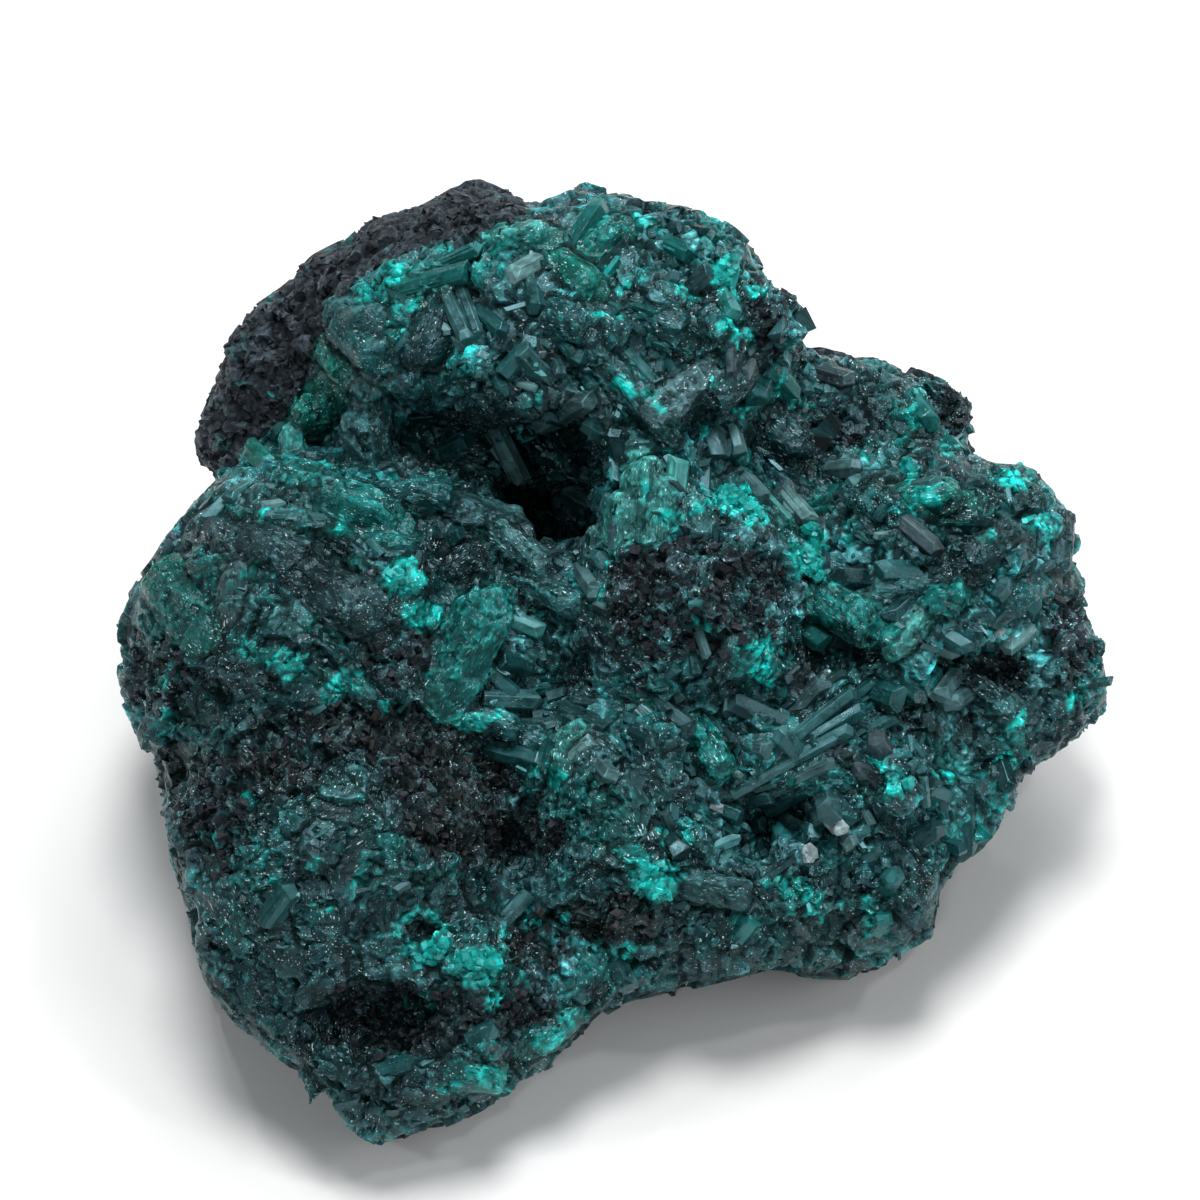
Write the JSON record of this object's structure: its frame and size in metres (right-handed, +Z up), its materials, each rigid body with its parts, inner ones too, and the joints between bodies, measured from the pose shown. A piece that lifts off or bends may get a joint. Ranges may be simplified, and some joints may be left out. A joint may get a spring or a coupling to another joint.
{
  "type": "mineral specimen",
  "caption": "Dioptase specimen: dark matrix rock crusted with emerald-green prismatic crystals around a deep open hollow, resting on its flat underside.",
  "frame": {"origin": "middle of the bounding box's base, on the surface the specimen rests on", "axes": "+Z up; +X to the viewer's right; -Y toward the viewer, the side that shows the crystals"},
  "size_m": [0.0806, 0.0816, 0.0449],
  "materials": {
    "matrix": "rough, granular, dark brown-grey",
    "dioptase": "vitreous dark green crystals"
  },
  "bodies": {
    "root": {"matrix": "matrix", "crown_crystals": "dioptase", "left_crystals": "dioptase", "front_crystals": "dioptase", "right_crystals": "dioptase"}
  },
  "joints": []
}
